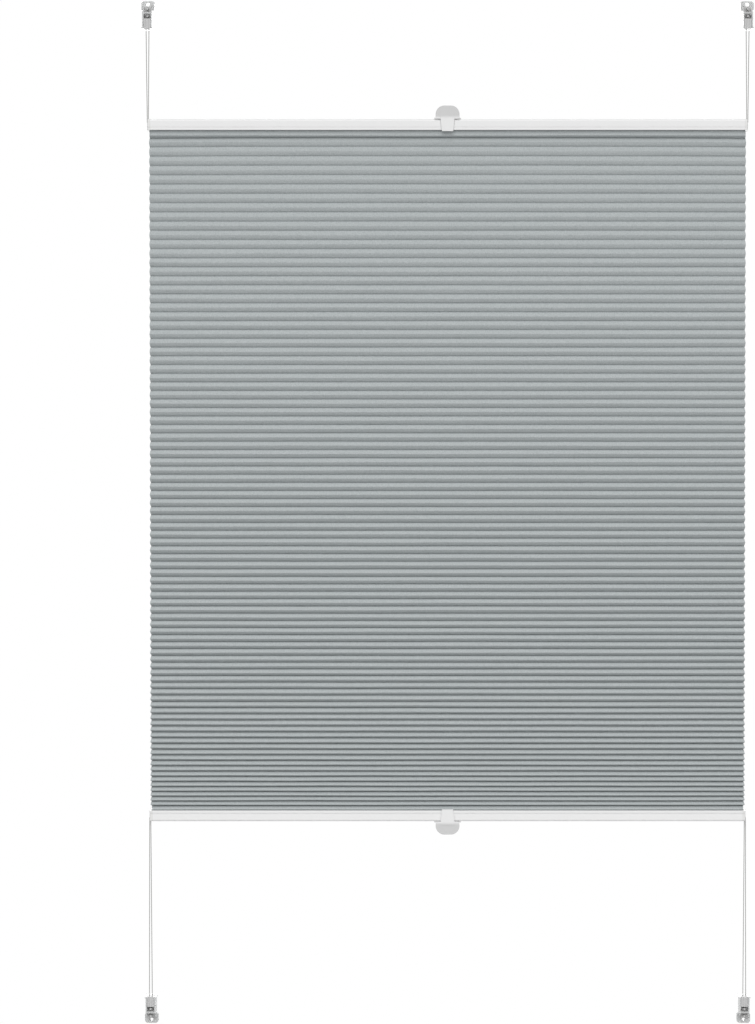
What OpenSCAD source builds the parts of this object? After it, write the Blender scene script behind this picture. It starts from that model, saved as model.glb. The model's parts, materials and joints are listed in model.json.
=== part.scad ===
// Tensioned honeycomb blind with two movable rails.
// Millimetres. X runs along the rails, the room side is -Y and Z is up.
// The origin is the centre of the four screw holes, in the plane that the shoes are screwed to.

/* [Blind] */
// Width over the end caps at their front edges
blind_w = 600; // [400:1:1000]
// Height over the upper and lower tension shoes
mount_h = 1033; // [880:1:1200]
// Height of the top rail's fabric side above the centre
top_rail_z = 386.3; // [150:0.1:395]
// Height of the bottom rail's fabric side above the centre
bottom_rail_z = -297.6; // [-395:0.1:-100]

/* [Rails] */
// Depth of a rail, front to back
rail_d = 20; // [20:0.5:24]
// Height of a rail
rail_h = 10.8; // [10.6:0.1:14]
// Wall of a rail's roof
rail_wall = 1.1; // [0.9:0.1:1.3]
// Radius of a rail's outer corners
rail_r = 1.8; // [1:0.1:2.4]
// Thickness of an end cap at its front edge
cap_t = 2.7; // [2:0.1:4]
// How far an end cap bulges at its crown
cap_bulge = 1.2; // [1:0.1:3]

/* [Fabric] */
// Number of cells
cells = 90; // [80:1:110]
// Wall of the fabric
fabric_t = 0.4; // [0.2:0.05:0.5]
// Length of one face between a glue line and a fold
face_len = 6; // [5.2:0.1:6.5]
// Width of a glue line
glue_w = 6; // [4:0.5:7]
// How far a settled cell's fold hangs below the cell's middle
fold_droop = 0.8; // [0:0.1:1]
// Gap between the fabric's cut edge and the blind's end
fabric_inset = 1.5; // [1:0.5:5]

/* [Cords] */
// Diameter of a cord
cord_d = 0.8; // [0.6:0.1:0.9]
// Distance of the cord columns in the fabric from the blind's ends
column_inset = 30; // [29:1:80]
// Diameter of the cord holes in the fabric
cord_hole_d = 3; // [2.5:0.5:5]

/* [Shoes] */
// Width of a shoe
shoe_w = 10; // [9.5:0.5:12]
// Height of a shoe
shoe_h = 28.6; // [27.6:0.1:34]
// Width of a shoe's head flange
head_w = 13.6; // [12:0.1:18]
// Diameter of the screw hole
screw_d = 3.4; // [3:0.1:4]

/* [Handles] */
// Width of a handle's tab
tab_w = 24; // [18:1:40]
// Height of a handle's tab above the rail
tab_h = 13; // [9:0.5:20]
// Width of a handle's clip at the tab
clip_w = 14; // [10:0.5:18]
// Width of a handle's clip at the fabric
clip_low_w = 11; // [8:0.5:14]

/* [Hidden] */
$fn = 48;
half_rail = rail_d / 2;
// Distance of the blind's middle plane from the screwed plane
standoff = half_rail + 2.5;
shoe_d = standoff + 4;
// Distances of the shoes' middles and of the cord columns from the blind's centre
cord_x = blind_w / 2 + 0.8;
column_x = blind_w / 2 - column_inset;
rail_end = blind_w / 2 - cap_t;
crown_x = blind_w / 2 + cap_bulge;
crown_r = (half_rail * half_rail + cap_bulge * cap_bulge) / (2 * cap_bulge);
fabric_x = blind_w / 2 - fabric_inset;
shoe_top = mount_h / 2;
shoe_low = shoe_top - shoe_h;
screw_z = shoe_top - 3.6;
post_z = shoe_top - 8.7;
peg_z = shoe_top - 16;
clearance = 0.25;
// Heights inside a rail, counted from its fabric side
slot_low = 1.1;
slot_high = 2.9;
chamber_low = 3.9;
chamber_high = rail_h - 1.1;
carrier_low = 1.2;
carrier_high = 2.8;
run_v = 7;
outer_leg_v = 6.6;
inner_leg_v = 7.8;
cap_bore_v = 7.2;
cap_bore_d = 2.4;
leg_end_x = rail_end - 1.3;
plug_w = rail_d - 2 * rail_wall - 0.4;
cross_u = 2.2;
leg_gap = 0.55;
// Half of the gap between a rail's lips
mouth_u = 6.6;
// Heights of the first and the last whole glue line
first_line_z = top_rail_z - 6.4;
last_line_z = bottom_rail_z + 4.9;
ivory = [0.92, 0.92, 0.91];
clear_plastic = [0.86, 0.87, 0.87];
insert_grey = [0.77, 0.77, 0.77];
cord_white = [0.9, 0.9, 0.89];
fabric_grey = [0.66, 0.69, 0.69];
steel = [0.7, 0.71, 0.72];

// A round tube swept along points, as one closed polyhedron
function unit(v) = v / norm(v);
function tangent_at(p, i) =
    i == 0 ? unit(p[1] - p[0])
    : i == len(p) - 1 ? unit(p[i] - p[i - 1])
    : unit(unit(p[i] - p[i - 1]) + unit(p[i + 1] - p[i]));
function side_axis(t, ref) = unit(cross(t, ref));
function ring(c, t, ref, r, sides) =
    let (a = side_axis(t, ref), b = cross(t, a))
    [for (j = [0 : sides - 1]) c + r * cos(360 * j / sides) * a + r * sin(360 * j / sides) * b];
module tube(points, d, ref, sides = 8) {
    n = len(points);
    verts = [for (i = [0 : n - 1]) each ring(points[i], tangent_at(points, i), ref, d / 2, sides)];
    walls = [for (i = [0 : n - 2], j = [0 : sides - 1])
        let (k = (j + 1) % sides)
        each [
            [i * sides + j, i * sides + k, (i + 1) * sides + k],
            [i * sides + j, (i + 1) * sides + k, (i + 1) * sides + j]
        ]];
    first = [[for (j = [0 : sides - 1]) sides - 1 - j]];
    last = [[for (j = [0 : sides - 1]) (n - 1) * sides + j]];
    polyhedron(points = verts, faces = concat(walls, first, last));
}

// A profile in depth and height, run along X
module along_x(from, to) {
    translate([from, 0, 0])
        rotate([90, 0, 90])
            linear_extrude(height = to - from)
                children();
}

// Puts a shape made for the top rail on the top or the bottom rail
module on_rail(top) {
    if (top) {
        translate([0, -standoff, top_rail_z])
            children();
    } else {
        translate([0, -standoff, bottom_rail_z])
            mirror([0, 0, 1])
                children();
    }
}

// Puts a shape made for the upper right corner on any corner
module on_corner(left, top) {
    mirror([left ? 1 : 0, 0, 0])
        mirror([0, 0, top ? 0 : 1])
            children();
}

// The rail's outline with its rounded roof, and a bead at the lip below a fine groove
module rail_outline() {
    translate([-half_rail, 3])
        square([rail_d, rail_h - 3 - rail_r]);
    translate([-half_rail + rail_r, 3])
        square([rail_d - 2 * rail_r, rail_h - 3]);
    for (s = [-1, 1])
        translate([s * (half_rail - rail_r), rail_h - rail_r])
            circle(r = rail_r);
    translate([-half_rail + 0.4, 2])
        square([rail_d - 0.8, 2]);
    translate([-half_rail - 0.2, 0])
        square([rail_d + 0.4, 2.4]);
}

// The rail's section: a cord chamber above a slot for the carrier, open towards the fabric
module rail_section() {
    difference() {
        rail_outline();
        translate([-half_rail + rail_wall, chamber_low])
            square([rail_d - 2 * rail_wall, chamber_high - chamber_low]);
        translate([-6, slot_high - 1])
            square([12, chamber_low - slot_high + 2]);
        translate([-half_rail + 1.4, slot_low])
            square([rail_d - 2.8, slot_high - slot_low]);
        translate([-mouth_u, -1])
            square([2 * mouth_u, slot_low + 2]);
    }
}

module rail(top) {
    color(ivory)
        on_rail(top)
            along_x(-rail_end, rail_end)
                rail_section();
}

// An end cap: a bulged flange with a notch for the cord at its crown and one for the fabric's edge,
// and a plug in the chamber
module end_cap(left, top) {
    color(ivory)
        on_rail(top)
            mirror([left ? 1 : 0, 0, 0])
                difference() {
                    union() {
                        intersection() {
                            along_x(rail_end, crown_x + 1)
                                rail_outline();
                            translate([crown_x - crown_r, 0, -1])
                                cylinder(h = rail_h + 2, r = crown_r, $fn = 96);
                        }
                        translate([rail_end - 10, -plug_w / 2, chamber_low + 0.2])
                            cube([10.5, plug_w, chamber_high - chamber_low - 0.4]);
                    }
                    translate([rail_end - 1, -mouth_u, -1])
                        cube([fabric_x - rail_end + 1.3, 2 * mouth_u, carrier_low + 1.3]);
                    translate([cord_x, 0, cap_bore_v])
                        cylinder(h = rail_h, d = cap_bore_d);
                    translate([rail_end - 11, 0, cap_bore_v])
                        rotate([0, 90, 0])
                            cylinder(h = cord_x - rail_end + 11 + 0.6, d = cap_bore_d);
                }
}

// The strip that the fabric's end cell is bonded to
module carrier(top) {
    color(clear_plastic)
        on_rail(top)
            difference() {
                translate([-rail_end + 1, -half_rail + 1.6, carrier_low])
                    cube([2 * rail_end - 2, rail_d - 3.2, carrier_high - carrier_low]);
                for (s = [-1, 1])
                    translate([s * column_x, 0, 0])
                        cylinder(h = rail_h, d = cord_hole_d);
            }
}

// A block in the chamber that turns the cords down into the fabric
module cord_guide(left, top) {
    color(insert_grey)
        on_rail(top)
            mirror([left ? 1 : 0, 0, 0])
                difference() {
                    translate([column_x - 8, -plug_w / 2, chamber_low + 0.2])
                        cube([16, plug_w, chamber_high - chamber_low - 0.4]);
                    translate([column_x - 9, -3.2, 5.6])
                        cube([18, 6.4, 3]);
                    translate([column_x, 0, chamber_low - 1])
                        cylinder(h = 4, d = cord_hole_d);
                }
}

// The strand that turns down on its own side, in depth and height inside a rail
function near_run(s) = [
    [s * leg_end_x, 0, outer_leg_v],
    [s * (column_x + 2.6), 0, outer_leg_v],
    [s * (column_x + 1.6), 0, 6.3],
    [s * (column_x + 0.9), 0, 5.6],
    [s * (column_x + 0.6), 0, 4.6],
    [s * (column_x + 0.6), 0, chamber_low]
];

// The strand that crosses to the far side, up to the rail's middle and on from it
function cross_start(s, gap) = [
    [s * leg_end_x, 0, inner_leg_v],
    [s * (rail_end - 11.3), 0, inner_leg_v],
    [s * (column_x + 11), s * -cross_u, run_v],
    [s * gap, s * -cross_u, run_v]
];
function cross_end(s, gap) = [
    [s * -gap, s * -cross_u, run_v],
    [s * (8 - column_x), s * -cross_u, run_v],
    [s * (2.6 - column_x), 0, 6.6],
    [s * (1.6 - column_x), 0, 6.3],
    [s * (0.9 - column_x), 0, 5.6],
    [s * (0.6 - column_x), 0, 4.6],
    [s * (0.6 - column_x), 0, chamber_low]
];

module rail_cords(top) {
    spring_side = top ? -1 : 1;
    color(cord_white)
        on_rail(top)
            for (s = [-1, 1]) {
                tube(near_run(s), cord_d, [0, 1, 0]);
                if (s == spring_side) {
                    tube(cross_start(s, 20), cord_d, [0, 0.3, 1]);
                    tube(cross_end(s, 20), cord_d, [0.2, 1, 0.4]);
                } else {
                    tube(concat(cross_start(s, 20), cross_end(s, 20)), cord_d, [0.2, 1, 0.4]);
                }
            }
}

// A tension spring in line with a crossing strand
function coil(turns, steps, r, length) = [
    for (i = [0 : turns * steps])
        [length * (i / (turns * steps) - 0.5), r * cos(360 * i / steps), r * sin(360 * i / steps)]
];
module spring(top) {
    spring_side = top ? -1 : 1;
    lead = 3;
    body_len = 34;
    color(steel)
        on_rail(top)
            translate([0, spring_side * -cross_u, run_v])
                tube(
                    concat(
                        [[-body_len / 2 - lead, 0, 0], [-body_len / 2 - 1.2, 0.4, 0]],
                        coil(14, 8, 1.5, body_len),
                        [[body_len / 2 + 1.2, 0.4, 0], [body_len / 2 + lead, 0, 0]]
                    ),
                    0.5, [1, 0.02, 0.03], 6
                );
}

// The handle: a saddle clipped around the rail, with a tab standing on its outer side
module tab_face() {
    r = 8.8;
    intersection() {
        translate([-tab_w / 2, 0])
            square([tab_w, tab_h]);
        union() {
            translate([-tab_w / 2, -r])
                square([tab_w, tab_h]);
            translate([-tab_w / 2 + r, 0])
                square([tab_w - 2 * r, tab_h]);
            for (s = [-1, 1])
                translate([s * (tab_w / 2 - r), tab_h - r])
                    circle(r = r);
        }
    }
}
module clip_section() {
    outer = half_rail + 1.7;
    inner = half_rail + 0.2 + clearance;
    roof = rail_h + clearance;
    difference() {
        translate([-outer, -1.4])
            square([2 * outer, roof + 1.2 + 1.4]);
        translate([-inner, -clearance])
            square([2 * inner, roof + clearance]);
        translate([-half_rail + 0.1, -2])
            square([rail_d - 0.2, 4]);
    }
}
module handle(top) {
    outer = half_rail + 1.7;
    roof = rail_h + clearance;
    color(insert_grey)
        on_rail(top)
            union() {
                intersection() {
                    along_x(-clip_w / 2, clip_w / 2)
                        clip_section();
                    translate([0, 2 * half_rail, 0])
                        rotate([90, 0, 0])
                            linear_extrude(height = 4 * half_rail)
                                polygon([
                                    [-clip_low_w / 2, -2],
                                    [clip_low_w / 2, -2],
                                    [clip_w / 2, roof],
                                    [clip_w / 2, roof + 2],
                                    [-clip_w / 2, roof + 2],
                                    [-clip_w / 2, roof]
                                ]);
                }
                translate([-tab_w / 2 - 1.5, -outer + 1, roof])
                    cube([tab_w + 3, 4, 1]);
                translate([-clip_w / 2, -outer, roof])
                    cube([clip_w, 2, 3.4]);
                translate([0, -outer + 2.3, roof])
                    rotate([90, 0, 0])
                        linear_extrude(height = 2)
                            tab_face();
            }
}

// A shoe's housing: a screwed head, two cheeks with slanted shoulders, a crossbar and flared feet
module shoe(left, top) {
    cheek = 1.4;
    color(clear_plastic)
        on_corner(left, top)
            translate([cord_x, 0, 0])
                difference() {
                    union() {
                        translate([-shoe_w / 2, -4, shoe_low])
                            cube([shoe_w, 4, shoe_h]);
                        rotate([90, 0, 0])
                            linear_extrude(height = 5)
                                polygon([
                                    [-shoe_w / 2, shoe_top],
                                    [-head_w / 2, shoe_top - 1.8],
                                    [-head_w / 2, shoe_top - 8.6],
                                    [-shoe_w / 2, shoe_top - 10],
                                    [shoe_w / 2, shoe_top - 10],
                                    [head_w / 2, shoe_top - 8.6],
                                    [head_w / 2, shoe_top - 1.8],
                                    [shoe_w / 2, shoe_top]
                                ]);
                        for (s = [-1, 1])
                            translate([s * (shoe_w - cheek) / 2, 0, 0])
                                along_x(-cheek / 2, cheek / 2)
                                    polygon([
                                        [0, shoe_low],
                                        [-shoe_d, shoe_low],
                                        [-shoe_d, shoe_top - 13],
                                        [-5, shoe_top - 4.6],
                                        [0, shoe_top - 4.6]
                                    ]);
                        translate([-shoe_w / 2, -shoe_d, peg_z + 2.2])
                            cube([shoe_w, 2.6, 1.8]);
                        for (s = [-1, 1])
                            translate([s * (shoe_w / 2 + 0.2) - 0.6, -shoe_d, shoe_low])
                                cube([1.2, shoe_d, 1.4]);
                    }
                    translate([0, 1, screw_z])
                        rotate([90, 0, 0])
                            cylinder(h = 8, d = screw_d);
                }
}

// A cord holder: a block with two cord holes at the cord's exit, and a back plate with a peg, a post
// and a horn on either side of the screw
module cord_holder(left, top) {
    half = (shoe_w - 2.8) / 2 - 0.2;
    color(insert_grey)
        on_corner(left, top)
            translate([cord_x, 0, 0]) {
                difference() {
                    union() {
                        translate([-half, -9, shoe_low])
                            cube([2 * half, 4, shoe_h - 4.4]);
                        translate([-half, -shoe_d + 0.5, shoe_low])
                            cube([2 * half, shoe_d - 0.5 - 9 + 0.5, 10.1]);
                    }
                    translate([0, 0, screw_z])
                        rotate([90, 0, 0])
                            cylinder(h = shoe_d, d = 6.4);
                    for (s = [-1, 1]) {
                        translate([s * 1.46, -standoff, shoe_low - 1])
                            cylinder(h = 13, d = 1.4);
                        translate([s * 1.46 - 0.5, -shoe_d, shoe_low - 1])
                            cube([1, 0.9, 13]);
                    }
                }
                for (z = [post_z, peg_z])
                    translate([0, -8.5, z])
                        rotate([90, 0, 0])
                            cylinder(h = standoff - 6.5, d = 2);
            }
}

// One cord loop: up from the end cap, around the post and back
function loop_points(cap_z) = concat(
    [
        [leg_end_x, outer_leg_v + cap_z],
        [cord_x - 1.5, outer_leg_v + cap_z],
        [cord_x - 0.6, 6.9 + cap_z],
        [cord_x + 0.1, 7.5 + cap_z],
        [cord_x + leg_gap, 8.6 + cap_z],
        [cord_x + leg_gap, rail_h + cap_z],
        [cord_x + 1.45, shoe_low]
    ],
    [for (a = [0 : 30 : 180]) [cord_x + 1.5 * cos(a), post_z + 1.5 * sin(a)]],
    [
        [cord_x - 1.45, shoe_low],
        [cord_x - leg_gap, rail_h + cap_z],
        [cord_x - leg_gap, 9 + cap_z],
        [cord_x - 0.9, 8.2 + cap_z],
        [cord_x - 1.7, inner_leg_v + cap_z],
        [leg_end_x, inner_leg_v + cap_z]
    ]
);
module cord_loop(left, top) {
    cap_z = top ? top_rail_z : -bottom_rail_z;
    color(cord_white)
        on_corner(left, top)
            tube([for (p = loop_points(cap_z)) [p[0], -standoff, p[1]]], cord_d, [0, 1, 0]);
}

// The cords that run down inside the cells, two in each column
module fabric_cords(left) {
    low = bottom_rail_z - chamber_low;
    high = top_rail_z + chamber_low;
    s = left ? -1 : 1;
    color(cord_white)
        for (x = [column_x - 0.6, column_x + 0.6])
            tube([[s * x, -standoff, low], [s * x, -standoff, high]], cord_d, [0, 1, 0]);
}

// The fabric's glue lines: open cells at the top that settle towards the bottom
function settle(u) = 9.5 * u - 1.25 * u * u - 0.6 * pow(u, 4);
function line_z(k) =
    k == 0 ? top_rail_z + carrier_low
    : k == cells ? bottom_rail_z - carrier_low
    : first_line_z - (first_line_z - last_line_z) * settle((k - 1) / (cells - 2)) / settle(1);
function pitch(k) = line_z(k) - line_z(k + 1);
function fold_depth(k) = sqrt(max(1, face_len * face_len - pitch(k) * pitch(k) / 4));
function droop(k) = min(pitch(k) / 5, fold_droop * min(1, max(0, (8 - pitch(k)) / 3)));
function fold_z(k) = (line_z(k) + line_z(k + 1)) / 2 - droop(k);
function fold_u(k) = glue_w / 2 + fold_depth(k);

// One side of the outline, from the top to the bottom
function outline_side(s) = [
    for (k = [0 : cells - 1])
        each [[s * glue_w / 2, line_z(k)], [s * fold_u(k), fold_z(k)]],
    [s * glue_w / 2, line_z(cells)]
];
function flipped(list) = [for (i = [len(list) - 1 : -1 : 0]) list[i]];

// A cell's inside: six points, set in by the wall
function upper_tilt(k) = atan2(line_z(k) - fold_z(k), fold_depth(k));
function lower_tilt(k) = atan2(fold_z(k) - line_z(k + 1), fold_depth(k));
function cell_points(k) =
    let (
        up = glue_w / 2 - fabric_t * tan(upper_tilt(k) / 2),
        lo = glue_w / 2 - fabric_t * tan(lower_tilt(k) / 2),
        tip = fold_u(k) - 2 * fabric_t / (sin(upper_tilt(k)) + sin(lower_tilt(k))),
        high = line_z(k) - fabric_t,
        low = line_z(k + 1) + fabric_t
    )
    [[-up, high], [up, high], [tip, fold_z(k)], [lo, low], [-lo, low], [-tip, fold_z(k)]];

module fabric_section() {
    outline = concat(outline_side(-1), flipped(outline_side(1)));
    rim = len(outline);
    polygon(
        points = concat(outline, [for (k = [0 : cells - 1]) each cell_points(k)]),
        paths = concat(
            [[for (i = [0 : rim - 1]) i]],
            [for (k = [0 : cells - 1]) [for (i = [0 : 5]) rim + 6 * k + i]]
        )
    );
}

module fabric() {
    color(fabric_grey)
        translate([0, -standoff, 0])
            difference() {
                along_x(-fabric_x, fabric_x)
                    fabric_section();
                for (s = [-1, 1])
                    translate([s * column_x, 0, bottom_rail_z - 10])
                        cylinder(h = top_rail_z - bottom_rail_z + 20, d = cord_hole_d, $fn = 8);
            }
}

shoe(true, true);  // shoe_upper_left
shoe(false, true);  // shoe_upper_right
shoe(true, false);  // shoe_lower_left
shoe(false, false);  // shoe_lower_right
cord_holder(true, true);  // cord_holder_upper_left
cord_holder(false, true);  // cord_holder_upper_right
cord_holder(true, false);  // cord_holder_lower_left
cord_holder(false, false);  // cord_holder_lower_right
cord_loop(true, true);  // cord_loop_upper_left
cord_loop(false, true);  // cord_loop_upper_right
cord_loop(true, false);  // cord_loop_lower_left
cord_loop(false, false);  // cord_loop_lower_right
fabric();
fabric_cords(true);  // fabric_cords_left
fabric_cords(false);  // fabric_cords_right
rail(true);  // top_rail
end_cap(true, true);  // top_cap_left
end_cap(false, true);  // top_cap_right
carrier(true);  // top_carrier
cord_guide(true, true);  // top_guide_left
cord_guide(false, true);  // top_guide_right
rail_cords(true);  // top_rail_cords
spring(true);  // top_spring
handle(true);  // top_handle
rail(false);  // bottom_rail
end_cap(true, false);  // bottom_cap_left
end_cap(false, false);  // bottom_cap_right
carrier(false);  // bottom_carrier
cord_guide(true, false);  // bottom_guide_left
cord_guide(false, false);  // bottom_guide_right
rail_cords(false);  // bottom_rail_cords
spring(false);  // bottom_spring
handle(false);  // bottom_handle
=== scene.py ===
"""Looks of a tensioned honeycomb blind, built around its CAD frame.

Metres. X runs along the rails, the room side is -Y and Z is up.
"""

from __future__ import annotations

import json
import logging
import math
import random
from dataclasses import dataclass, field
from enum import Enum

import bpy
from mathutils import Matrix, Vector

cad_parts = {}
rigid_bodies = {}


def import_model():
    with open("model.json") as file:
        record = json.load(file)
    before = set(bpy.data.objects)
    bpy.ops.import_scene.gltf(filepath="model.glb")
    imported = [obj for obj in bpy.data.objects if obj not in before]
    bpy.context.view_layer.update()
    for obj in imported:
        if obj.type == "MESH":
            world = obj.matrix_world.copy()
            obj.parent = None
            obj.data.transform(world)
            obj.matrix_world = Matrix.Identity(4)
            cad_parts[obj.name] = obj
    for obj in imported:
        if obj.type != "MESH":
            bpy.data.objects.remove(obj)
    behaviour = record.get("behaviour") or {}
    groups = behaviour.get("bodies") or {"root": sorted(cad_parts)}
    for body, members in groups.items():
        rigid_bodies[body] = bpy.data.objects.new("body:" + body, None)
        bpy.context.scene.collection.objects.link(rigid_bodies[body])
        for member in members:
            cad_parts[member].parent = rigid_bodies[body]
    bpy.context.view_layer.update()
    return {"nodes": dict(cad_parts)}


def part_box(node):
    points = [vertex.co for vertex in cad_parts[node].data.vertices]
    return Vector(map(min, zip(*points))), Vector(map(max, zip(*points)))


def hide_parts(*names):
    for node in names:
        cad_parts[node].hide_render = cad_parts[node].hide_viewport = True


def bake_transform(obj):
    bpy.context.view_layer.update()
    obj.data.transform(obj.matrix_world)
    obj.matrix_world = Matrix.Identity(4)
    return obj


LOG = logging.getLogger("blind")
MM = 0.001

# Strength of a grain's relief, and the fineness of its noise
GRAIN_STRENGTH = 0.6
GRAIN_DETAIL = 2.0
# Fineness and unevenness of the flecks' noise, and where it turns from fleck to ground
FLECK_DETAIL = 3.0
FLECK_ROUGHNESS = 0.6
FLECK_RAMP = (0.35, 0.6)
# Numbers of the mix node's colour sockets, since its other sockets have the same names
MIX_A = 6
MIX_B = 7
MIX_RESULT = 2
# Halvings and ranges of the search for the fabric's blend marks
MARK_HALVINGS = 50
MARK_SPAN = 2.0
RATE_HALVINGS = 60
RATE_RANGE = (0.5, 3.0)

Point = tuple[float, float, float]


class Level(Enum):
    """The upper or the lower half of the blind, by the rail that it hangs on."""

    UPPER = "top"
    LOWER = "bottom"

    @property
    def body(self) -> str:
        """The moving body of this half's rail."""
        return f"{self.value}_rail_body"

    @property
    def word(self) -> str:
        """The word that this half's shoes carry in their names."""
        return self.name.lower()

    @property
    def sign(self) -> float:
        """Plus one where the rail is above the fabric, and minus one below it."""
        return 1.0 if self is Level.UPPER else -1.0


class Side(Enum):
    """The left or the right end of the blind, as seen from the room."""

    LEFT = -1.0
    RIGHT = 1.0

    @property
    def word(self) -> str:
        """The word that this side's parts carry in their names."""
        return self.name.lower()


class Skin(Enum):
    """The two sides of the fabric, by their material slots."""

    OUTSIDE = 0
    INSIDE = 1


def linear(hex_colour: str) -> tuple[float, float, float, float]:
    """Turns an sRGB hex colour into a linear one.

    Args:
        hex_colour: Six hex digits after a hash sign.

    Returns:
        Red, green, blue and an alpha of one.
    """
    parts = [int(hex_colour[i : i + 2], 16) / 255 for i in (1, 3, 5)]
    red, green, blue = (c / 12.92 if c <= 0.04045 else ((c + 0.055) / 1.055) ** 2.4 for c in parts)
    return (red, green, blue, 1.0)


def add_node(
    tree: bpy.types.NodeTree,
    kind: str,
    inputs: dict[str | int, object] | None = None,
    links: dict[str | int, bpy.types.NodeSocket] | None = None,
    **settings: object,
) -> bpy.types.Node:
    """Adds a shader node with its settings, its constant inputs and its links.

    Args:
        tree: The node tree that gets the node.
        kind: Blender's name of the node type.
        inputs: Constant values by the name or number of the input socket.
        links: Output sockets of other nodes by the name or number of the input socket.
        settings: Values of the node's own properties.

    Returns:
        The new node.
    """
    made = tree.nodes.new(kind)
    for name, value in settings.items():
        setattr(made, name, value)
    for name, value in (inputs or {}).items():
        made.inputs[name].default_value = value
    for name, socket in (links or {}).items():
        tree.links.new(socket, made.inputs[name])
    return made


def fresh_tree(material: bpy.types.Material) -> bpy.types.NodeTree:
    """Gives a material an empty node tree.

    Args:
        material: The material to clear.

    Returns:
        Its node tree, with no nodes in it.
    """
    material.use_nodes = True
    material.node_tree.nodes.clear()
    return material.node_tree


@dataclass(frozen=True)
class Finish:
    """A plain surface: a moulded, coated or drawn material with a fine grain.

    Attributes:
        name: The real material and how its surface was made.
        colour: sRGB hex colour.
        roughness: Typical roughness of the surface.
        metallic: One on bare metal, less on a lacquered film, else nought.
        grain_mm: Size of the surface's grain.
        grain_depth_mm: Height of that grain.
    """

    name: str
    colour: str
    roughness: float
    metallic: float = 0.0
    grain_mm: float = 0.8
    grain_depth_mm: float = 0.01

    def material(self) -> bpy.types.Material:
        """Makes the Blender material.

        Returns:
            The material, or the one already made under this name.
        """
        made = bpy.data.materials.get(self.name)
        if made is None:
            made = bpy.data.materials.new(self.name)
            tree = fresh_tree(made)
            shader = self.shader(tree)
            add_node(tree, "ShaderNodeOutputMaterial", links={"Surface": shader.outputs["BSDF"]})
        return made

    def grain(self, tree: bpy.types.NodeTree) -> bpy.types.Node:
        """Adds the fine relief of the surface.

        Args:
            tree: The material's node tree.

        Returns:
            A bump node.
        """
        place = add_node(tree, "ShaderNodeTexCoord")
        noise = add_node(
            tree,
            "ShaderNodeTexNoise",
            inputs={"Scale": 1 / (self.grain_mm * MM), "Detail": GRAIN_DETAIL},
            links={"Vector": place.outputs["Object"]},
        )
        return add_node(
            tree,
            "ShaderNodeBump",
            inputs={"Strength": GRAIN_STRENGTH, "Distance": self.grain_depth_mm * MM},
            links={"Height": noise.outputs["Fac"]},
        )

    def shader(self, tree: bpy.types.NodeTree) -> bpy.types.Node:
        """Adds the surface shader.

        Args:
            tree: The material's node tree.

        Returns:
            A Principled shader node.
        """
        return add_node(
            tree,
            "ShaderNodeBsdfPrincipled",
            inputs={
                "Base Color": linear(self.colour),
                "Roughness": self.roughness,
                "Metallic": self.metallic,
            },
            links={"Normal": self.grain(tree).outputs["Normal"]},
        )


@dataclass(frozen=True)
class ClearFinish(Finish):
    """A translucent moulded plastic, which lets the white behind it through.

    Attributes:
        transmission: Share of the light that passes.
        ior: Index of refraction of the plastic.
    """

    transmission: float = 0.5
    ior: float = 1.58

    def shader(self, tree: bpy.types.NodeTree) -> bpy.types.Node:
        """Adds the surface shader with its transmission.

        Args:
            tree: The material's node tree.

        Returns:
            A Principled shader node.
        """
        made = Finish.shader(self, tree)
        made.inputs["Transmission Weight"].default_value = self.transmission
        made.inputs["IOR"].default_value = self.ior
        return made


@dataclass(frozen=True)
class TabFinish(Finish):
    """A frosted clip with painted light and shade: painted pale where the white rail shows through it,
    painted grey where the tab stands free.

    Attributes:
        free_painted_shade: sRGB hex colour of the free tab, a painted shade for the grey look of the
            clear plastic against the room.
        edge_z: Height of the rail's outer face, where the tab begins.
        sign: Plus one on a tab that stands up, and minus one on one that hangs.
        fade_mm: Height over which the one turns into the other.
    """

    # Painted grey shade of the free tab, in place of the clear plastic's look against the room
    free_painted_shade: str = "#C9C9C9"
    edge_z: float = 0.0
    sign: float = 1.0
    fade_mm: float = 4.0

    def shader(self, tree: bpy.types.NodeTree) -> bpy.types.Node:
        """Adds the surface shader, its colour graded by height from the painted pale of the rail-backed
        clip to the painted grey shade of the free tab.

        Args:
            tree: The material's node tree.

        Returns:
            A Principled shader node.
        """
        made = Finish.shader(self, tree)
        place = add_node(tree, "ShaderNodeTexCoord")
        axes = add_node(tree, "ShaderNodeSeparateXYZ", links={"Vector": place.outputs["Object"]})
        far = self.edge_z + self.sign * self.fade_mm * MM
        share = add_node(
            tree,
            "ShaderNodeMapRange",
            inputs={"From Min": self.edge_z, "From Max": far},
            links={"Value": axes.outputs["Z"]},
            interpolation_type="SMOOTHSTEP",
        )
        # Mixes the painted pale of the rail-backed clip into the painted grey shade of the free tab
        mix = add_node(
            tree,
            "ShaderNodeMix",
            inputs={MIX_A: linear(self.colour), MIX_B: linear(self.free_painted_shade)},
            links={"Factor": share.outputs["Result"]},
            data_type="RGBA",
        )
        tree.links.new(mix.outputs[MIX_RESULT], made.inputs["Base Color"])
        return made


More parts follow.
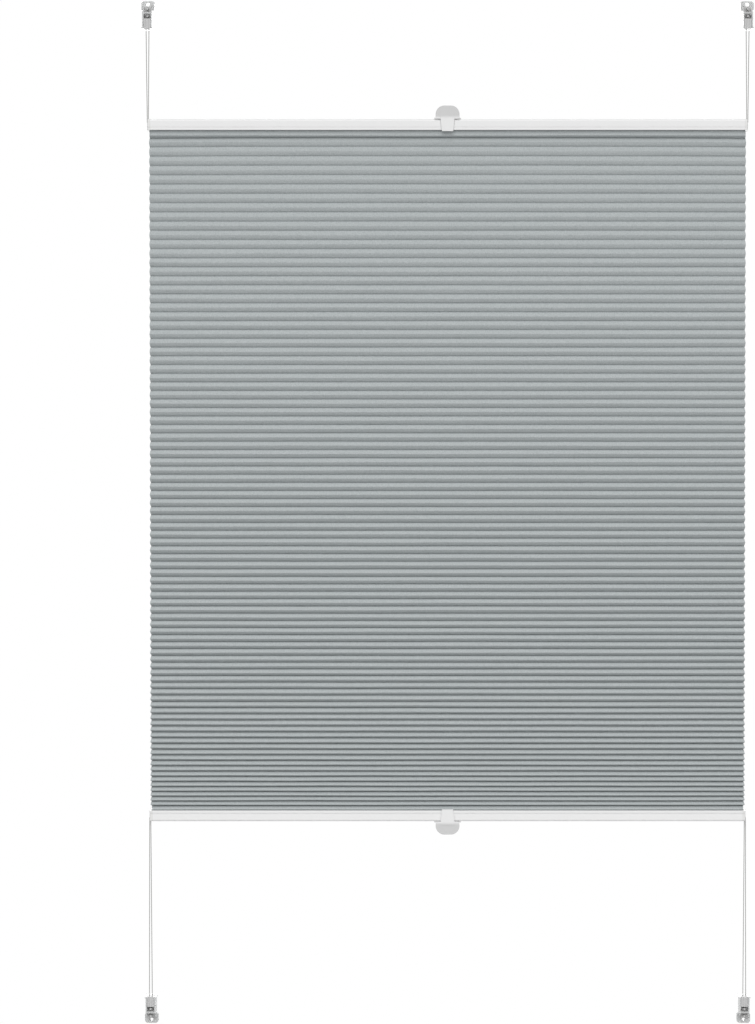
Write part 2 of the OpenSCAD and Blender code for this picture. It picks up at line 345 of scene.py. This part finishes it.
@dataclass(frozen=True)
class NonWovenFinish(Finish):
    """Bonded polyester fibres: matt, with a fine fleck from the fibres' bundles.

    Attributes:
        fleck_colour: sRGB hex colour of the denser flecks.
        fleck_mm: Size of a fleck, coarser than a fibre so that it shows.
    """

    fleck_colour: str = "#A0A6A7"
    fleck_mm: float = 1.1

    def shader(self, tree: bpy.types.NodeTree) -> bpy.types.Node:
        """Adds the surface shader with its flecks.

        Args:
            tree: The material's node tree.

        Returns:
            A Principled shader node.
        """
        made = Finish.shader(self, tree)
        place = add_node(tree, "ShaderNodeTexCoord")
        fleck = add_node(
            tree,
            "ShaderNodeTexNoise",
            inputs={
                "Scale": 1 / (self.fleck_mm * MM),
                "Detail": FLECK_DETAIL,
                "Roughness": FLECK_ROUGHNESS,
            },
            links={"Vector": place.outputs["Object"]},
        )
        ramp = add_node(tree, "ShaderNodeValToRGB", links={"Fac": fleck.outputs["Fac"]})
        colours = (self.fleck_colour, self.colour)
        for stop, position, colour in zip(ramp.color_ramp.elements, FLECK_RAMP, colours):
            stop.position = position
            stop.color = linear(colour)
        tree.links.new(ramp.outputs["Color"], made.inputs["Base Color"])
        return made


# Powder coat on extruded aluminium: satin white with a soft sheen and a slight orange peel
RAIL_COAT = Finish("aluminium_white_powder_coat", "#E6E6E6", 0.42, grain_mm=0.9, grain_depth_mm=0.012)
# White ABS from a fine-spark mould: close to the rail's white and a little softer in its shine
CAP_PLASTIC = Finish("abs_white_moulded", "#DEDEDD", 0.48)
# Clear polycarbonate with frosted faces: pale and milky, with bright edges
SHOE_PLASTIC = ClearFinish("polycarbonate_clear_moulded", "#D8D9D9", 0.16, transmission=0.4)
# Grey acetal: an even matt grey that sets the holder off from its clear shoe
HOLDER_PLASTIC = Finish("acetal_grey_moulded", "#BEBEBE", 0.42)
# Extruded PVC strip: milky, and hidden in the rail but for its edges
CARRIER_PLASTIC = Finish("pvc_strip_extruded", "#DEDFDF", 0.5)
# Braided polyester, near white in itself but painted a matt grey as painted shade for its thin strands
# against the white, with the small steps of the braid
CORD_PAINTED_SHADE = Finish("polyester_cord_braided", "#A6A6A4", 0.8, grain_mm=0.35, grain_depth_mm=0.05)
# Drawn spring steel: bright grey wire with a soft shine
SPRING_WIRE = Finish("spring_steel_drawn", "#B9BABB", 0.3, metallic=1.0)
# Non-woven polyester, calendered: matt blue-green grey with a fine fleck
FABRIC_OUTSIDE = NonWovenFinish(
    "polyester_nonwoven_calendered", "#B0B5B6", 0.88, grain_mm=0.5, grain_depth_mm=0.03
)
# Aluminium film laminated to the cells' insides: bright, and crinkled by the folding
FABRIC_INSIDE = Finish(
    "aluminium_film_crinkled", "#F0F1F2", 0.5, metallic=0.75, grain_mm=2.5, grain_depth_mm=2.0
)


# The finish of a CAD part by a word in its name, of which the first that fits counts
PART_FINISHES: dict[str, Finish] = {
    "shoe": SHOE_PLASTIC,
    "cord_holder": HOLDER_PLASTIC,
    "guide": HOLDER_PLASTIC,
    "cap": CAP_PLASTIC,
    "carrier": CARRIER_PLASTIC,
    "spring": SPRING_WIRE,
    "cord": CORD_PAINTED_SHADE,
    "fabric": FABRIC_OUTSIDE,
}


@dataclass(frozen=True)
class BlindFrame:
    """Places read from the CAD frame.

    Attributes:
        middle_y: Depth of the blind's middle plane.
        top_z: Height of the top rail's fabric side.
        bottom_z: Height of the bottom rail's fabric side.
        rail_h: Height of a rail.
        shoe_z: Height of a shoe's cord exit above or below the centre.
        cord_x: Distance of the shoes' middles from the centre.
        fabric_x: Half of the fabric's width.
    """

    middle_y: float
    top_z: float
    bottom_z: float
    rail_h: float
    shoe_z: float
    cord_x: float
    fabric_x: float

    @classmethod
    def read(cls) -> BlindFrame:
        """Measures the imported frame.

        Returns:
            The places that the soft parts are built to.
        """
        rail_low, rail_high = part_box("top_rail")
        shoe_low, shoe_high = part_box("shoe_upper_right")
        return cls(
            middle_y=(rail_low.y + rail_high.y) / 2,
            top_z=rail_low.z,
            bottom_z=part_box("bottom_rail")[1].z,
            rail_h=rail_high.z - rail_low.z,
            shoe_z=shoe_low.z,
            cord_x=(shoe_low.x + shoe_high.x) / 2,
            fabric_x=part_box("fabric")[1].x,
        )

    def rail_z(self, level: Level) -> float:
        """Height of the fabric side of one rail."""
        return self.top_z if level is Level.UPPER else self.bottom_z


def new_mesh(
    name: str,
    vertices: list[Point],
    faces: list[tuple[int, ...]],
    finishes: list[Finish],
    picks: list[int] | None = None,
) -> bpy.types.Object:
    """Makes a mesh object in the scene.

    Args:
        name: Name of the piece.
        vertices: Points in the row frame.
        faces: Vertex numbers of each face.
        finishes: The finishes, in slot order.
        picks: The slot of each face, or nothing where all take the first.

    Returns:
        The object, riding on nothing yet.
    """
    mesh = bpy.data.meshes.new(name)
    mesh.from_pydata(vertices, [], faces)
    for finish in finishes:
        mesh.materials.append(finish.material())
    if picks is not None:
        mesh.polygons.foreach_set("material_index", picks)
    mesh.validate()
    made = bpy.data.objects.new(name, mesh)
    bpy.context.scene.collection.objects.link(made)
    return made


def smooth_all(piece: bpy.types.Object) -> None:
    """Shades every face of a piece smooth."""
    piece.data.polygons.foreach_set("use_smooth", [True] * len(piece.data.polygons))


def tube_mesh(
    paths: list[list[Point]], radius: float, sides: int = 10
) -> tuple[list[Point], list[tuple[int, ...]]]:
    """Sweeps a round tube along each path.

    Args:
        paths: Centre lines, each with at least two points, all in planes of constant depth.
        radius: The tube's radius.
        sides: Number of sides.

    Returns:
        The vertices and the faces of all the tubes.
    """
    vertices: list[Point] = []
    faces: list[tuple[int, ...]] = []
    for path in paths:
        points = [Vector(p) for p in path]
        base = len(vertices)
        for i, point in enumerate(points):
            before = points[max(i - 1, 0)]
            after = points[min(i + 1, len(points) - 1)]
            along = ((point - before).normalized() + (after - point).normalized()).normalized()
            across = Vector((0, 1, 0))
            third = along.cross(across).normalized()
            for j in range(sides):
                turn = 2 * math.pi * j / sides
                spot = point + radius * (math.cos(turn) * across + math.sin(turn) * third)
                vertices.append(tuple(spot))
        for i in range(len(points) - 1):
            for j in range(sides):
                k = (j + 1) % sides
                low = base + i * sides
                high = low + sides
                faces.append((low + j, low + k, high + k, high + j))
        faces.append(tuple(base + j for j in reversed(range(sides))))
        faces.append(tuple(base + (len(points) - 1) * sides + j for j in range(sides)))
    return vertices, faces


@dataclass
class Wander:
    """A slow, small drift along the blind, as hand-set folds have.

    Attributes:
        rng: The seeded source of chance.
        size: Largest drift.
        span: Length that the drift runs over.
        counts: Wave counts over that length, before they vary.
        spread: Least and greatest factor by which a count varies.
        waves: Pairs of wave count and phase, picked on creation.
    """

    rng: random.Random
    size: float
    span: float
    counts: tuple[float, ...] = (1.3, 2.6, 4.7)
    spread: tuple[float, float] = (0.8, 1.2)
    waves: list[tuple[float, float]] = field(default_factory=list)

    def __post_init__(self) -> None:
        """Picks the waves."""
        for count in self.counts:
            varied = count * self.rng.uniform(*self.spread)
            self.waves.append((varied, self.rng.uniform(0, 2 * math.pi)))

    def at(self, x: float) -> float:
        """The drift at one place along the blind."""
        total = sum(math.sin(2 * math.pi * n * x / self.span + p) for n, p in self.waves)
        return self.size * total / len(self.waves)


@dataclass
class HoneycombFabric:
    """The cellular fabric: one bonded stack of six-sided cells between the rails.

    Attributes:
        frame: Places read from the CAD frame.
        cells: Number of cells.
        glue_half: Half of a glue line's width.
        face_len: Length of one face between a glue line and a fold.
        bend: How much of a face bends around its glue line in a wide open cell.
        wall: Thickness of the fabric with its film.
        droop: How far a settled cell's fold hangs below the cell's middle.
        bulge: How far a face swells out between its glue line and its fold.
        bond: How far the end cells reach into the rails.
        first_half: Half of the first cell's width where the rail's strip holds it.
        first_fold: Place of the first cell's fold, outwards and down from the rail's mouth.
        flare: How far the folds' ends stand out past the glue lines' ends.
        steps: Number of stretches along the blind.
        seed: Start of the chance in the folds' drift.
        splits: Where a half parts into groups of cells, counted in cells from both of its ends.
        first_gap: How far the first free glue line lies below the top rail.
        last_gap: How far the last free glue line lies above the bottom rail.
        settle: How the glue lines crowd downwards: factors of powers one, two and four.
        line_sway: Largest drift of a glue line along the blind.
        fold_sway: Largest drift of a fold along the blind.
        end_sag: How far the first free glue line hangs lower at its ends.
        sag_cells: Number of cells over which that sag fades.
        bend_from: Cell height from which the faces bend at their glue lines.
        bend_over: Further height over which that bend grows to its full size.
        hang_below: Cell height below which the folds begin to hang.
        hang_over: Further closing over which they come to hang by the full droop.
        least_depth: Least depth of a fold past its glue line.
        crease: Length of the pressed strip on each side of a fold.
        crease_round: How far the fold's rounding stands back.
        swell: Points on a face: share of the way from glue line to fold, and share of the bulge.
        lines: Heights of the glue lines, from the top.
        line_drift: Drift of each glue line.
        fold_drift: Drift of each fold.
    """

    frame: BlindFrame
    cells: int = 90
    glue_half: float = 3.0 * MM
    face_len: float = 6.0 * MM
    bend: float = 0.75 * MM
    wall: float = 0.35 * MM
    droop: float = 1.3 * MM
    bulge: float = 0.5 * MM
    bond: float = 1.2 * MM
    first_half: float = 5.6 * MM
    first_fold: tuple[float, float] = (7.8 * MM, 5.5 * MM)
    flare: float = 1.4 * MM
    steps: int = 16
    seed: int = 7
    splits: tuple[int, ...] = (0, 1, 2, 4, 8, 14)
    first_gap: float = 6.8 * MM
    last_gap: float = 4.9 * MM
    settle: tuple[float, float, float] = (9.5, -1.25, -0.6)
    line_sway: float = 0.12 * MM
    fold_sway: float = 0.22 * MM
    end_sag: float = 0.9 * MM
    sag_cells: float = 3.0
    bend_from: float = 7.7 * MM
    bend_over: float = 1.8 * MM
    hang_below: float = 8.0 * MM
    hang_over: float = 3.0 * MM
    least_depth: float = 1.0 * MM
    crease: float = 0.3 * MM
    crease_round: float = 0.1 * MM
    swell: tuple[tuple[float, float], ...] = ((0.35, 1.0), (0.7, 0.7))
    lines: list[float] = field(init=False)
    line_drift: list[Wander] = field(init=False)
    fold_drift: list[Wander] = field(init=False)

    def __post_init__(self) -> None:
        """Sets the glue lines' heights and each line's and fold's drift."""
        rng = random.Random(self.seed)
        span = 2 * self.frame.fabric_x
        self.lines = [self.line_z(k) for k in range(self.cells + 1)]
        self.line_drift = [Wander(rng, self.line_sway, span) for _ in self.lines]
        self.fold_drift = [Wander(rng, self.fold_sway, span) for _ in range(self.cells)]

    def line_z(self, k: int) -> float:
        """Height of a glue line: open cells at the top that settle towards the bottom.

        Args:
            k: Number of the glue line, from the top.

        Returns:
            Its height, before any drift.
        """
        first = self.frame.top_z - self.first_gap
        last = self.frame.bottom_z + self.last_gap
        if k == 0:
            return self.frame.top_z + self.bond
        if k == self.cells:
            return self.frame.bottom_z - self.bond
        u = (k - 1) / (self.cells - 2)
        one, two, four = self.settle
        passed = one * u + two * u**2 + four * u**4
        return first - (first - last) * passed / sum(self.settle)

    def line_at(self, k: int, x: float) -> float:
        """Height of a glue line at one place, a little lower near the ends under the top rail.

        Args:
            k: Number of the glue line, from the top.
            x: Place along the blind.

        Returns:
            Its height there.
        """
        if k in (0, self.cells):
            return self.lines[k]
        fade = math.exp(-(k - 1) / self.sag_cells)
        sag = self.end_sag * (x / self.frame.fabric_x) ** 4 * fade
        return self.lines[k] + self.line_drift[k].at(x) - sag

    def fold_at(self, k: int, x: float) -> tuple[float, float]:
        """Where a cell's front fold lies at one place.

        Args:
            k: Number of the cell, from the top.
            x: Place along the blind.

        Returns:
            Its distance from the middle plane, and its height.
        """
        drift = self.fold_drift[k].at(x)
        if k == 0:
            out, down = self.first_fold
            return out, self.frame.top_z - down + drift
        high = self.line_at(k, x)
        low = self.line_at(k + 1, x)
        pitch = high - low
        opened = min(1.0, max(0.0, (pitch - self.bend_from) / self.bend_over))
        reach = self.face_len - self.bend * opened
        depth = math.sqrt(max(self.least_depth**2, reach**2 - pitch**2 / 4))
        hang = self.droop * min(1.0, max(0.0, (self.hang_below - pitch) / self.hang_over))
        return self.glue_half + depth, (high + low) / 2 - hang + drift

    def half_ring(self, k: int, x: float, inset: float) -> list[tuple[float, float]]:
        """One side of a cell's section, from its upper to its lower glue line.

        Args:
            k: Number of the cell, from the top.
            x: Place along the blind.
            inset: Nought on the outside, or the wall's thickness on the inside.

        Returns:
            Distances from the middle plane, and heights.
        """
        fold_u, fold_z = self.fold_at(k, x)
        high = self.line_at(k, x)
        low = self.line_at(k + 1, x)
        top_u = self.first_half if k == 0 else self.glue_half
        up = math.atan2(high - fold_z, fold_u - top_u)
        lo = math.atan2(fold_z - low, fold_u - self.glue_half)
        top = (top_u - inset * math.tan(up / 2), high - inset)
        base = (self.glue_half - inset * math.tan(lo / 2), low + inset)
        tip = fold_u - 2 * inset / (math.sin(up) + math.sin(lo))
        above = (tip - self.crease * math.cos(up), fold_z + self.crease * math.sin(up))
        below = (tip - self.crease * math.cos(lo), fold_z - self.crease * math.sin(lo))
        rounded = (tip - self.crease_round, fold_z)
        upper = [self.between(top, above, way, part * self.bulge) for way, part in self.swell]
        lower = [
            self.between(below, base, 1 - way, -part * self.bulge) for way, part in reversed(self.swell)
        ]
        return [top, *upper, above, rounded, below, *lower, base]

    @staticmethod
    def between(
        a: tuple[float, float], b: tuple[float, float], share: float, bulge: float
    ) -> tuple[float, float]:
        """A point between two others, set off across their line by a small bulge.

        Args:
            a: The first point.
            b: The second point.
            share: How far along the line.
            bulge: Size of the bulge, plus to the upper side of the line.

        Returns:
            The point.
        """
        across = math.atan2(b[1] - a[1], b[0] - a[0])
        out = bulge if b[0] > a[0] else -bulge
        u = a[0] + share * (b[0] - a[0]) - out * math.sin(across)
        z = a[1] + share * (b[1] - a[1]) + out * math.cos(across)
        return (u, z)

    def cell_mesh(
        self, k: int, vertices: list[Point], faces: list[tuple[int, ...]], picks: list[int]
    ) -> None:
        """Adds one cell as a closed wall, fabric outside and film inside.

        Args:
            k: Number of the cell, from the top.
            vertices: The piece's vertices, added to.
            faces: The piece's faces, added to.
            picks: The material slot of each face, added to.
        """
        base = len(vertices)
        count = 2 * len(self.half_ring(k, 0.0, 0.0))
        stride = 2 * count
        for step in range(self.steps + 1):
            along = 2 * step / self.steps - 1
            x = self.frame.fabric_x * along
            flared = step in (0, self.steps) and k not in (0, self.cells - 1)
            for inset in (0.0, self.wall):
                half = self.half_ring(k, x, inset)
                ring = [(-u, z) for u, z in half] + [(u, z) for u, z in reversed(half)]
                for u, z in ring:
                    past = max(0.0, (abs(u) - self.glue_half) / self.face_len)
                    out = self.flare * past if flared else 0.0
                    vertices.append((x + along * out, self.frame.middle_y + u, z))
        for step in range(self.steps):
            here = base + step * stride
            for j in range(count):
                i = (j + 1) % count
                outer = (here + j, here + i, here + stride + i, here + stride + j)
                inner = tuple(v + count for v in reversed(outer))
                faces.append(outer)
                picks.append(Skin.OUTSIDE.value)
                faces.append(inner)
                picks.append(Skin.INSIDE.value)
        for here, flip in ((base, False), (base + self.steps * stride, True)):
            for j in range(count):
                i = (j + 1) % count
                rim = (here + j, here + count + j, here + count + i, here + i)
                faces.append(tuple(reversed(rim)) if flip else rim)
                picks.append(Skin.OUTSIDE.value)

    def split_lines(self, level: Level) -> list[int]:
        """Picks the glue lines that part one half into groups of cells.

        Args:
            level: The half.

        Returns:
            Line numbers from the blind's middle to the half's rail.
        """
        middle = (self.frame.top_z + self.frame.bottom_z) / 2
        centre = min(range(self.cells + 1), key=lambda k: abs(self.lines[k] - middle))
        end, towards = (0, -1) if level is Level.UPPER else (self.cells, 1)
        from_middle = [centre + towards * count for count in self.splits]
        from_rail = [end - towards * count for count in reversed(self.splits)]
        return from_middle + from_rail

    @staticmethod
    def ease_marks(lengths: list[float]) -> list[float]:
        """Places the groups' ends on a smooth step so that all cells close about evenly.

        Args:
            lengths: Height of each group, from the middle to the rail.

        Returns:
            The step's parameter at each group's ends, from 0 to 1.
        """

        def steepest(a: float, b: float) -> float:
            """Steepest slope of the smooth step between two parameters."""
            peak = min(max(0.5, a), b)
            return 6 * peak * (1 - peak)

        def march(rate: float) -> list[float]:
            """Marks that give every group the same steepest closing rate.

            Args:
                rate: That rate, as a multiple of an even closing.

            Returns:
                The marks, the last of which may fall short of 1 or go past it.
            """
            marks = [0.0]
            for length in lengths:
                low = marks[-1]
                high = low + MARK_SPAN
                target = rate * length / sum(lengths)
                for _ in range(MARK_HALVINGS):
                    probe = (low + high) / 2
                    reached = steepest(marks[-1], min(probe, 1.0)) * (probe - marks[-1])
                    low, high = (probe, high) if reached < target else (low, probe)
                marks.append(low)
            return marks

        slow, fast = RATE_RANGE
        for _ in range(RATE_HALVINGS):
            rate = (slow + fast) / 2
            slow, fast = (rate, fast) if march(rate)[-1] < 1.0 else (slow, rate)
        marks = march(slow)
        marks[-1] = 1.0
        return marks

    def build(self) -> list[bpy.types.Object]:
        """Builds the fabric in groups of cells, in its upper and its lower half.

        Returns:
            The pieces.
        """
        made = []
        for level in Level:
            lines = self.split_lines(level)
            heights = [abs(self.lines[b] - self.lines[a]) for a, b in zip(lines, lines[1:])]
            marks = self.ease_marks(heights)
            for number in range(len(heights)):
                ends = (lines[number], lines[number + 1])
                made.append(self.build_group(level, number, ends))
        return made

    def build_group(
        self, level: Level, number: int, ends: tuple[int, int]
    ) -> bpy.types.Object:
        """Builds one group of cells.

        Args:
            level: The half that the group is in.
            number: The group's number, from the middle.
            ends: The glue lines at its ends, the middle's first.

        Returns:
            The piece.
        """
        vertices: list[Point] = []
        faces: list[tuple[int, ...]] = []
        picks: list[int] = []
        for k in range(min(ends), max(ends)):
            self.cell_mesh(k, vertices, faces, picks)
        piece = new_mesh(
            f"fabric_{level.word}_{number}", vertices, faces, [FABRIC_OUTSIDE, FABRIC_INSIDE], picks
        )
        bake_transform(piece)
        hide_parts("fabric")
        return piece


@dataclass
class CordLoop:
    """A taut cord from an end cap up around a shoe's post and back.

    Attributes:
        frame: Places read from the CAD frame.
        level: The rail that it holds.
        side: The end of that rail.
        radius: Half of the cord's thickness.
        post_up: Height of the post's middle over the shoe's cord exit.
        post_r: Radius of the cord's turn around the post.
        turn_step: Degrees between two points of that turn.
        shoe_half: Half of the strands' distance at the shoe.
        cap_half: Half of the strands' distance at the end cap.
        outer_bend: The outer strand's way in the cap, in mm across and up from the rail.
        inner_bend: The inner strand's way in the cap, likewise.
    """

    frame: BlindFrame
    level: Level
    side: Side
    radius: float = 0.4 * MM
    post_up: float = 19.9 * MM
    post_r: float = 1.5 * MM
    turn_step: int = 20
    shoe_half: float = 1.45 * MM
    cap_half: float = 0.55 * MM
    outer_bend: tuple[tuple[float, float], ...] = (
        (-4.8, 6.6),
        (-1.5, 6.6),
        (-0.6, 6.9),
        (0.1, 7.5),
        (0.55, 8.6),
    )
    inner_bend: tuple[tuple[float, float], ...] = (
        (-0.55, 9.0),
        (-0.9, 8.2),
        (-1.7, 7.8),
        (-4.8, 7.8),
    )

    def route(self) -> list[Point]:
        """The cord's centre line, from one end inside the cap to the other.

        Returns:
            Points in the row frame.
        """
        x = self.frame.cord_x
        rail = abs(self.frame.rail_z(self.level))
        mouth = rail + self.frame.rail_h
        shoe = self.frame.shoe_z
        post = shoe + self.post_up
        outer = [(x + u * MM, rail + v * MM) for u, v in self.outer_bend]
        rising = [(x + self.cap_half, mouth), (x + self.shoe_half, shoe)]
        turns = [math.radians(a) for a in range(0, 181, self.turn_step)]
        turn = [(x + self.post_r * math.cos(a), post + self.post_r * math.sin(a)) for a in turns]
        falling = [(x - self.shoe_half, shoe), (x - self.cap_half, mouth)]
        inner = [(x + u * MM, rail + v * MM) for u, v in self.inner_bend]
        flat = outer + rising + turn + falling + inner
        return [(self.side.value * u, self.frame.middle_y, self.level.sign * v) for u, v in flat]

    def build(self) -> bpy.types.Object:
        """Builds the loop along its route.

        Returns:
            The piece.
        """
        route = self.route()
        node = f"cord_loop_{self.level.word}_{self.side.word}"
        vertices, faces = tube_mesh([route], self.radius)
        piece = new_mesh(f"{node}_braid", vertices, faces, [CORD_PAINTED_SHADE])
        smooth_all(piece)
        mouth = abs(self.frame.rail_z(self.level)) + self.frame.rail_h
        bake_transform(piece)
        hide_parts(node)
        return piece


@dataclass
class FabricCords:
    """The cords inside the cells of one column, in an upper and a lower half.

    Attributes:
        frame: Places read from the CAD frame.
        side: The column's end of the blind.
        radius: Half of a cord's thickness.
        inside: How far the cords reach into a rail.
        sides: Number of sides of a cord, which is hardly seen.
    """

    frame: BlindFrame
    side: Side
    radius: float = 0.4 * MM
    inside: float = 3.9 * MM
    sides: int = 8

    def build(self) -> list[bpy.types.Object]:
        """Builds the two halves of the column's cords.

        Returns:
            The pieces.
        """
        node = f"fabric_cords_{self.side.word}"
        low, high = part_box(node)
        y = self.frame.middle_y
        middle = (self.frame.top_z + self.frame.bottom_z) / 2
        made = []
        for level in Level:
            end = self.frame.rail_z(level) + level.sign * self.inside
            edges = (low.x + self.radius, high.x - self.radius)
            paths = [[(x, y, middle), (x, y, end)] for x in edges]
            vertices, faces = tube_mesh(paths, self.radius, self.sides)
            piece = new_mesh(f"{node}_{level.word}", vertices, faces, [CORD_PAINTED_SHADE])
            smooth_all(piece)
            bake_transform(piece)
            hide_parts(node)
            made.append(piece)
        return made


@dataclass
class HardParts:
    """The rigid CAD parts, shown as they are in their finishes.

    Attributes:
        nodes: The CAD nodes by name.
        frame: Places read from the CAD frame.
    """

    nodes: dict[str, bpy.types.Object]
    frame: BlindFrame

    def tab(self, level: Level) -> TabFinish:
        """The finish of one rail's handle.

        Args:
            level: The rail.

        Returns:
            A frosted finish, its painted light and shade graded from that rail's outer face.
        """
        # Frosted polycarbonate with painted light and shade: painted pale where the white rail shows
        # through the clip, and painted grey where the free tab stands against the room
        return TabFinish(
            name=f"polycarbonate_frosted_{level.value}",
            colour="#E4E4E4",
            roughness=0.38,
            edge_z=self.frame.rail_z(level) + level.sign * self.frame.rail_h,
            sign=level.sign,
        )

    def finish_of(self, name: str) -> Finish:
        """Picks the finish of a CAD node by its name.

        Args:
            name: The node's name.

        Returns:
            The finish.
        """
        if name.endswith("_handle"):
            return self.tab(Level.UPPER if name.startswith("top") else Level.LOWER)
        for word, finish in PART_FINISHES.items():
            if word in name:
                return finish
        return RAIL_COAT

    def dress(self) -> None:
        """Gives every CAD node its finish."""
        for name, node in self.nodes.items():
            node.data.materials.clear()
            node.data.materials.append(self.finish_of(name).material())


@dataclass(frozen=True)
class SoftBox:
    """A square soft box that faces the blind.

    Attributes:
        name: Name of the lamp.
        place: Where it stands.
        size: Length of its side.
        watts: Its power.
    """

    name: str
    place: Point
    size: float
    watts: float

    def build(self, target: Vector) -> None:
        """Sets the lamp up.

        Args:
            target: The place that it faces.
        """
        box = bpy.data.lights.new(self.name, "AREA")
        box.size = self.size
        box.energy = self.watts
        lamp = bpy.data.objects.new(self.name, box)
        lamp.visible_transmission = False
        lamp.location = self.place
        toward = target - lamp.location
        lamp.rotation_euler = toward.to_track_quat("-Z", "Y").to_euler()
        bpy.context.scene.collection.objects.link(lamp)


@dataclass
class Studio:
    """A plain pale floor, soft white light and the photograph's camera.

    Attributes:
        frame: Places read from the CAD frame.
        distance: How far the camera stands from the blind's middle plane.
        eye_z: Height of the camera.
        tilt_deg: How far it looks down.
        frame_h: Height of the picture at the blind's middle plane.
        aim: Place of the picture's centre on the blind, across and up.
        sensor_mm: Width of the camera's sensor.
        sight: Farthest distance that the camera shows.
        sun_strength: Strength of the overhead lamp.
        sun_spread_deg: Its width in the sky, which softens the shadows.
        sun_tilt_deg: How far it leans towards the room.
        soft_boxes: The soft boxes beside the camera and behind the blind.
        lit_z: Height that the soft boxes face.
        world_light: Strength of the white that lights the blind.
        world_white: Strength of the white that the camera sees.
        floor_z: Height of the floor.
        floor_half: Half of the floor's width.
        floor_y: Front and back edge of the floor.
    """

    frame: BlindFrame
    distance: float = 3.0
    eye_z: float = 0.105
    tilt_deg: float = 2.0
    frame_h: float = 1.0318
    aim: tuple[float, float] = (-0.0706, 0.0034)
    sensor_mm: float = 36.0
    sight: float = 20.0
    sun_strength: float = 2.05
    sun_spread_deg: float = 50.0
    sun_tilt_deg: float = 47.0
    soft_boxes: tuple[SoftBox, ...] = (
        SoftBox("soft_box_left", (-1.1, -1.5, 0.35), size=0.8, watts=5.2),
        SoftBox("soft_box_right", (1.1, -1.5, 0.35), size=0.8, watts=5.2),
        SoftBox("soft_box_behind", (0.0, 1.6, 0.45), size=1.2, watts=22.0),
    )
    lit_z: float = 0.05
    world_light: float = 0.19
    world_white: float = 1.0
    floor_z: float = -0.9
    floor_half: float = 1.6
    floor_y: tuple[float, float] = (-2.2, 0.8)

    def build(self) -> None:
        """Builds the stage."""
        self.floor()
        self.lamps()
        self.world()
        self.camera()

    def floor(self) -> None:
        """Lays a pale floor well below the hanging blind."""
        half = self.floor_half
        front, back = self.floor_y
        flat = [(-half, front), (half, front), (half, back), (-half, back)]
        corners = [(x, y, self.floor_z) for x, y in flat]
        pale = Finish("floor_pale_matt", "#DADADA", 0.8)
        new_mesh("floor", corners, [(0, 1, 2, 3)], [pale])

    def lamps(self) -> None:
        """Hangs one broad lamp overhead, and sets the soft boxes up."""
        overhead = bpy.data.lights.new("overhead", "SUN")
        overhead.energy = self.sun_strength
        overhead.angle = math.radians(self.sun_spread_deg)
        lamp = bpy.data.objects.new("overhead", overhead)
        lamp.rotation_euler = (math.radians(self.sun_tilt_deg), 0, 0)
        bpy.context.scene.collection.objects.link(lamp)
        target = Vector((0, self.frame.middle_y, self.lit_z))
        for soft_box in self.soft_boxes:
            soft_box.build(target)

    def world(self) -> None:
        """Surrounds the blind with white, which lights it at a plain level and shows as white."""
        world = bpy.data.worlds.new("studio")
        bpy.context.scene.world = world
        world.use_nodes = True
        tree = world.node_tree
        tree.nodes.clear()
        rays = add_node(tree, "ShaderNodeLightPath")
        seen = add_node(
            tree,
            "ShaderNodeMath",
            links={0: rays.outputs["Is Camera Ray"], 1: rays.outputs["Is Glossy Ray"]},
            operation="MAXIMUM",
        )
        through = add_node(
            tree,
            "ShaderNodeMath",
            links={0: seen.outputs[0], 1: rays.outputs["Is Transmission Ray"]},
            operation="MAXIMUM",
        )
        lit, white = (
            add_node(
                tree,
                "ShaderNodeBackground",
                inputs={"Color": linear("#FFFFFF"), "Strength": strength},
            )
            for strength in (self.world_light, self.world_white)
        )
        both = add_node(
            tree,
            "ShaderNodeMixShader",
            links={0: through.outputs[0], 1: lit.outputs[0], 2: white.outputs[0]},
        )
        add_node(tree, "ShaderNodeOutputWorld", links={"Surface": both.outputs[0]})
        bpy.context.scene.view_settings.view_transform = "Standard"

    def camera(self) -> None:
        """Places the camera, level with the blind's upper part, and frames it by shift."""
        data = bpy.data.cameras.new("camera")
        data.sensor_width = self.sensor_mm
        data.lens = data.sensor_width * self.distance / self.frame_h
        drop = self.distance * math.tan(math.radians(self.tilt_deg))
        data.shift_x = self.aim[0] / self.frame_h
        data.shift_y = (self.aim[1] - (self.eye_z - drop)) / self.frame_h
        data.clip_end = self.sight
        camera = bpy.data.objects.new("camera", data)
        camera.location = (0, self.frame.middle_y - self.distance, self.eye_z)
        camera.rotation_euler = (math.radians(90 - self.tilt_deg), 0, 0)
        bpy.context.scene.collection.objects.link(camera)
        bpy.context.scene.camera = camera


def main() -> None:
    """Builds the blind's looks in order and reports each piece."""
    logging.basicConfig(level=logging.INFO, format="%(message)s")
    for old in list(bpy.data.objects):
        bpy.data.objects.remove(old)
    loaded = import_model()
    frame = BlindFrame.read()
    HardParts(loaded["nodes"], frame).dress()
    LOG.info("dressed %d hard parts", len(loaded["nodes"]))
    for piece in HoneycombFabric(frame).build():
        LOG.info("built %s", piece.name)
    for level in Level:
        for side in Side:
            LOG.info("built %s", CordLoop(frame, level, side).build().name)
    for side in Side:
        for piece in FabricCords(frame, side).build():
            LOG.info("built %s", piece.name)
    Studio(frame).build()


if __name__ == "__main__":
    main()
